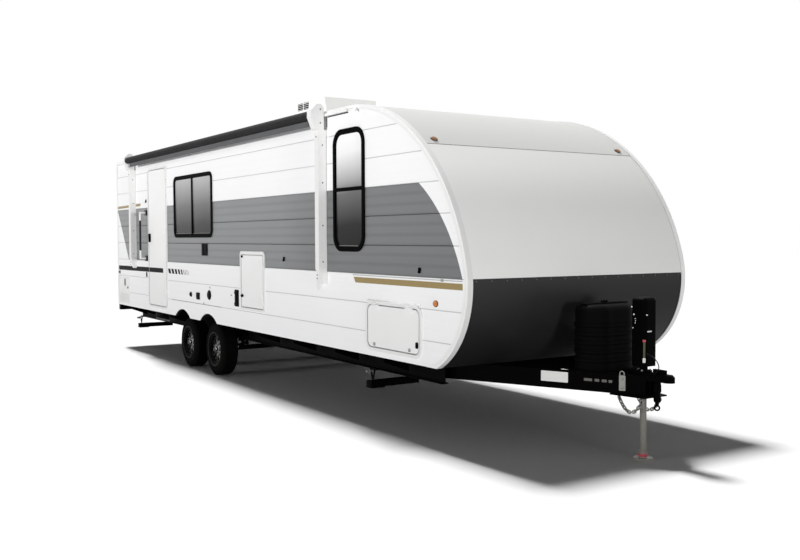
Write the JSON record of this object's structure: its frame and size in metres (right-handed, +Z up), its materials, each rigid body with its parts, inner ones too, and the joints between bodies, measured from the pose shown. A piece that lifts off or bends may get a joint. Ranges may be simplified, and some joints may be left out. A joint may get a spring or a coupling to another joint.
{
  "type": "travel caravan",
  "caption": "Tandem-axle towed caravan with a hollow panelled body, hinged door and hatches, turning wheels, drop stabilisers and a tongue jack that it stands on.",
  "frame": {"origin": "centre of the tow ball in the coupler's socket", "axes": "+X forward along the tongue, +Y to the caravan's left, +Z up"},
  "size_m": [10.406, 2.6315, 3.37],
  "materials": {
    "white_siding": "baked enamel on corrugated aluminium, semi-gloss",
    "white_cap": "gel-coated fibreglass",
    "dark_band": "dark gel-coated fibreglass",
    "roof_skin": "white rubber roofing sheet",
    "moulding": "white-painted extruded aluminium",
    "frame_black": "black powder coat",
    "frame_white": "white-painted aluminium extrusion",
    "glass": "tinted safety glass",
    "floor_board": "plywood decking with a dark underside",
    "chassis_black": "black chassis paint",
    "zinc": "zinc-plated steel",
    "ram_steel": "plain steel",
    "tyre": "black rubber",
    "rim_black": "gloss black paint",
    "plastic_black": "moulded black plastic",
    "plastic_white": "moulded white plastic",
    "fabric_dark": "dark vinyl awning fabric",
    "fabric_grey": "grey vinyl awning fabric",
    "lamp_amber": "amber lens",
    "lamp_red": "red lens",
    "cable_black": "black cable sheath"
  },
  "bodies": {
    "caravan": {"a_frame": "chassis_black", "a_frame_gusset": "chassis_black", "air_conditioner": "plastic_white", "awning_arms": "frame_white", "awning_roller": "fabric_dark", "awning_valance": "fabric_grey", "axles": "chassis_black", "corner_mouldings": "moulding", "coupler": "chassis_black", "cross_members": "chassis_black", "entry_door_frame": "frame_white", "entry_step_frame": "chassis_black", "floor": "floor_board", "front_cap": "white_cap", "front_cap_band": "dark_band", "gas_bottle_cover": "plastic_black", "gas_bottle_tray": "chassis_black", "grab_handle": "frame_white", "hatch_frames": "frame_white", "jack_head": "plastic_black", "jack_tube": "ram_steel", "leaf_springs": "chassis_black", "main_rails": "chassis_black", "marker_lamps": "lamp_amber", "outriggers": "chassis_black", "rear_bumper": "chassis_black", "rear_wall": "white_siding", "roof": "roof_skin", "roof_gutters": "moulding", "roof_vents": "plastic_white", "safety_chains": "zinc", "side_wall_left": "white_siding", "side_wall_right": "white_siding", "spring_hangers": "chassis_black", "stabiliser_frames": "chassis_black", "tail_lamps": "lamp_red", "tongue_cable": "cable_black", "wheel_wells": "plastic_black", "window_frames": "frame_black", "window_panes": "glass"},
    "wheel_rear_right": {"tyre_rear_right": "tyre", "rim_rear_right": "rim_black"},
    "wheel_rear_left": {"tyre_rear_left": "tyre", "rim_rear_left": "rim_black"},
    "wheel_front_right": {"tyre_front_right": "tyre", "rim_front_right": "rim_black"},
    "wheel_front_left": {"tyre_front_left": "tyre", "rim_front_left": "rim_black"},
    "entry_door": {"entry_door": "frame_white"},
    "kitchen_hatch": {"kitchen_hatch": "frame_white"},
    "locker_hatch_right": {"locker_hatch_right": "frame_white"},
    "locker_hatch_left": {"locker_hatch_left": "frame_white"},
    "entry_step": {"entry_step_tread": "chassis_black"},
    "jack_ram": {"jack_ram": "ram_steel"},
    "stabiliser_rear_right": {"stabiliser_leg_rear_right": "chassis_black"},
    "stabiliser_rear_left": {"stabiliser_leg_rear_left": "chassis_black"},
    "stabiliser_front_right": {"stabiliser_leg_front_right": "chassis_black"},
    "stabiliser_front_left": {"stabiliser_leg_front_left": "chassis_black"}
  },
  "joints": [
    {"name": "wheel_rear_right_spin", "type": "hinge", "parent": "caravan", "child": "wheel_rear_right", "pos_m": [-7.274, -1.04, -0.309], "axis": [0, 1, 0], "continuous": true},
    {"name": "wheel_rear_left_spin", "type": "hinge", "parent": "caravan", "child": "wheel_rear_left", "pos_m": [-7.274, 1.04, -0.309], "axis": [0, 1, 0], "continuous": true},
    {"name": "wheel_front_right_spin", "type": "hinge", "parent": "caravan", "child": "wheel_front_right", "pos_m": [-6.334, -1.04, -0.309], "axis": [0, 1, 0], "continuous": true},
    {"name": "wheel_front_left_spin", "type": "hinge", "parent": "caravan", "child": "wheel_front_left", "pos_m": [-6.334, 1.04, -0.309], "axis": [0, 1, 0], "continuous": true},
    {"name": "entry_door_swing", "type": "hinge", "parent": "caravan", "child": "entry_door", "pos_m": [-7.879, -1.242, 1.1005], "axis": [0, 0, 1], "range_deg": [0, 160]},
    {"name": "kitchen_hatch_swing", "type": "hinge", "parent": "caravan", "child": "kitchen_hatch", "pos_m": [-4.633, -1.242, 0.6], "axis": [0, 0, 1], "range_deg": [0, 165]},
    {"name": "locker_hatch_right_lift", "type": "hinge", "parent": "caravan", "child": "locker_hatch_right", "pos_m": [-1.966, -1.242, 0.498], "axis": [-1, 0, 0], "range_deg": [0, 170]},
    {"name": "locker_hatch_left_lift", "type": "hinge", "parent": "caravan", "child": "locker_hatch_left", "pos_m": [-1.966, 1.242, 0.498], "axis": [1, 0, 0], "range_deg": [0, 170]},
    {"name": "entry_step_slide", "type": "slide", "parent": "caravan", "child": "entry_step", "axis": [0, -1, 0], "range_m": [0, 0.23]},
    {"name": "jack_ram_slide", "type": "slide", "parent": "caravan", "child": "jack_ram", "axis": [0, 0, 1], "range_m": [-0.06, 0.395]},
    {"name": "stabiliser_rear_right_drop", "type": "hinge", "parent": "caravan", "child": "stabiliser_rear_right", "pos_m": [-10.136, -0.426, -0.31], "axis": [1, 0, 0], "range_deg": [0, 34]},
    {"name": "stabiliser_rear_left_drop", "type": "hinge", "parent": "caravan", "child": "stabiliser_rear_left", "pos_m": [-10.136, 0.426, -0.31], "axis": [-1, 0, 0], "range_deg": [0, 34]},
    {"name": "stabiliser_front_right_drop", "type": "hinge", "parent": "caravan", "child": "stabiliser_front_right", "pos_m": [-2.846, -0.426, -0.31], "axis": [1, 0, 0], "range_deg": [0, 34]},
    {"name": "stabiliser_front_left_drop", "type": "hinge", "parent": "caravan", "child": "stabiliser_front_left", "pos_m": [-2.846, 0.426, -0.31], "axis": [-1, 0, 0], "range_deg": [0, 34]}
  ]
}
